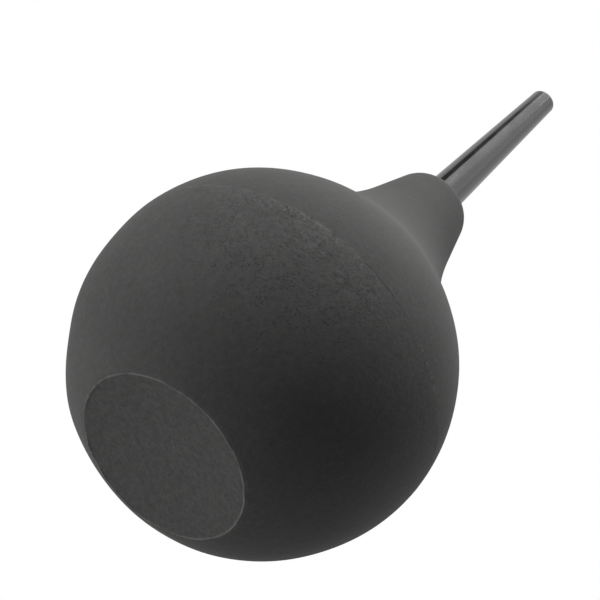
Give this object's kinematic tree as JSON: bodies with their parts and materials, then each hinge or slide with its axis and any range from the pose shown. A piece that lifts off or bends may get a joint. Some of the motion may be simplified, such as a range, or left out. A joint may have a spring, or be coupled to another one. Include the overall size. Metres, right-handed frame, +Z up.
{
  "type": "dust blower bulb",
  "caption": "Hollow rubber squeeze bulb with a flat thumb base and a flared neck that grips a tapered plastic blowing nozzle.",
  "frame": {"origin": "centre of the flat base of the bulb, on the surface it stands on", "axes": "+Z up along the axis of bulb and nozzle, towards the nozzle's tip; X and Y are alike, because every piece is turned about Z"},
  "size_m": [0.056, 0.056, 0.1119],
  "materials": {
    "pitted_rubber": "matt charcoal rubber, finely pitted",
    "smooth_rubber": "matt charcoal rubber, smooth satin skin",
    "nozzle_plastic": "glossy black moulded plastic"
  },
  "bodies": {
    "base": {"bulb_base_half": "pitted_rubber"},
    "neck": {"bulb_neck_half": "smooth_rubber"},
    "nozzle": {"nozzle": "nozzle_plastic"}
  },
  "joints": [
    {"name": "bulb_squeeze", "type": "slide", "parent": "base", "child": "neck", "axis": [0, 0, -1], "range_m": [0, 0.015], "stiffness_N_per_m": 1400, "deforming": ["bulb_base_half"]},
    {"name": "nozzle_pull", "type": "slide", "parent": "neck", "child": "nozzle", "axis": [0, 0, 1], "range_m": [0, 0.016]}
  ]
}
